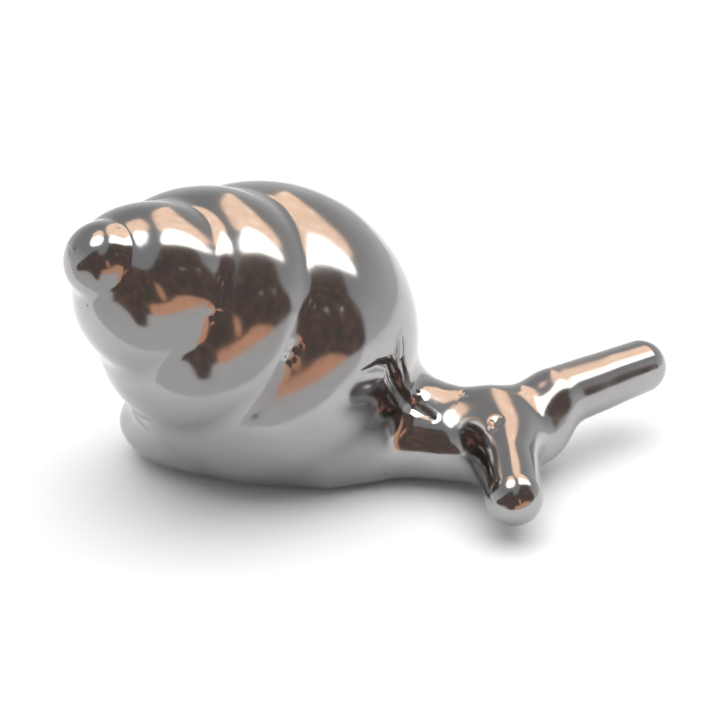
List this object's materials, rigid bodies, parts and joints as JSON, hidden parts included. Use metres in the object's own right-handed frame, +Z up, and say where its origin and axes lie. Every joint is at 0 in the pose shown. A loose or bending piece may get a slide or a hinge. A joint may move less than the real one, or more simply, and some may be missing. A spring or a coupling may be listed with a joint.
{
  "type": "snail figurine",
  "caption": "Polished cast metal figurine of a snail with a ridged spiral shell, a flat foot and round-ended eye stalks, standing on a felt pad.",
  "frame": {"origin": "middle of the felt pad's underside, straight below the middle of the shell's ball", "axes": "+X from tail to head, +Y to the snail's left, +Z up from the surface it stands on"},
  "size_m": [0.119, 0.0739, 0.0672],
  "materials": {
    "polished_metal": "cast, mirror polished",
    "fastener_steel": "plain zinc plated",
    "felt": "pressed wool felt, black"
  },
  "bodies": {
    "root": {"body": "polished_metal", "shell": "polished_metal", "shell_screw": "fastener_steel", "dowel_pins": "fastener_steel", "base_felt": "felt"}
  },
  "joints": []
}
